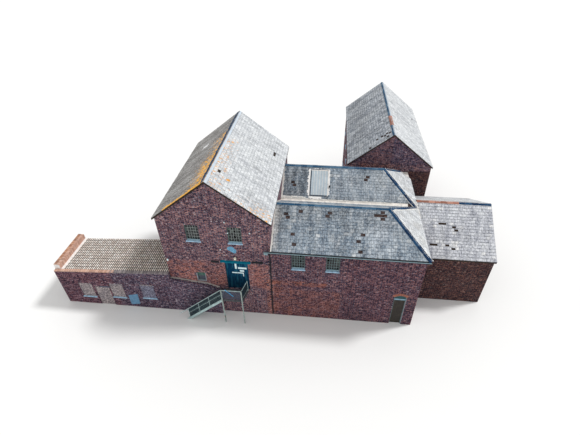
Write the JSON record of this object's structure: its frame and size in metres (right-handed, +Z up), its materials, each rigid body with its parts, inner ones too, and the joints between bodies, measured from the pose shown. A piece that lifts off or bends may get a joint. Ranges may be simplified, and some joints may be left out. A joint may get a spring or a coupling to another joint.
{
  "type": "brick tannery building",
  "caption": "Old brick works building: gabled main block, double hipped range, low wing, rear block, lean-to and outside stair to a double door.",
  "frame": {"origin": "middle of the whole building in plan, at ground level", "axes": "+X to the right along the front, +Y to the back, +Z up"},
  "size_m": [32.34, 23.885, 11.98],
  "materials": {
    "brick": "matte",
    "slate": "matte",
    "roof_tile": "matte",
    "ridge_tile": "matte",
    "lead": "matte",
    "concrete": "matte",
    "floor_boards": "matte",
    "weathered_boards": "matte",
    "window_paint": "matte",
    "sill_stone": "matte",
    "window_glass": "gloss",
    "door_paint": "satin",
    "hinge_iron": "matte",
    "stair_paint": "satin",
    "pipe_iron": "satin"
  },
  "bodies": {
    "building": {"main_front_base": "brick", "main_front_left_pier": "brick", "main_front_right_pier": "brick", "main_front_gable": "brick", "main_back_wall": "brick", "main_side_walls": "brick", "main_roof": "slate", "ground_floors": "concrete", "upper_floors": "floor_boards", "range_front_wall": "brick", "range_end_wall": "brick", "range_back_wall": "brick", "front_range_roof": "slate", "rear_range_roof": "slate", "lead_valley": "lead", "rooflight_frame": "lead", "link_walls": "brick", "link_roof": "lead", "wing_side_walls": "brick", "wing_end_wall": "brick", "wing_roof": "slate", "rear_gable_walls": "brick", "rear_side_walls": "brick", "rear_roof": "slate", "ridge_tiles": "ridge_tile", "leanto_front_wall": "brick", "leanto_walls": "brick", "leanto_roof": "roof_tile", "wall_copings": "brick", "opening_boards": "weathered_boards", "window_frames": "window_paint", "window_glass": "window_glass", "window_sills": "sill_stone", "arched_door": "window_paint", "arched_door_panels": "weathered_boards", "door_frame": "door_paint", "door_pintles": "hinge_iron", "door_canopy": "door_paint", "landing_posts": "stair_paint", "landing_deck": "stair_paint", "stair_stringers": "stair_paint", "stair_treads": "stair_paint", "stair_railings": "stair_paint", "front_gutter": "pipe_iron", "downpipe": "pipe_iron"},
    "left_leaf": {"door_leaf_left": "door_paint"},
    "right_leaf": {"door_leaf_right": "door_paint"}
  },
  "joints": [
    {"name": "left_leaf_hinge", "type": "hinge", "parent": "building", "child": "left_leaf", "pos_m": [-2.94, -10.6395, 2.55], "axis": [0, 0, 1], "range_deg": [0, 90]},
    {"name": "right_leaf_hinge", "type": "hinge", "parent": "building", "child": "right_leaf", "pos_m": [-1.45, -10.6395, 2.55], "axis": [0, 0, -1], "range_deg": [0, 90]}
  ]
}
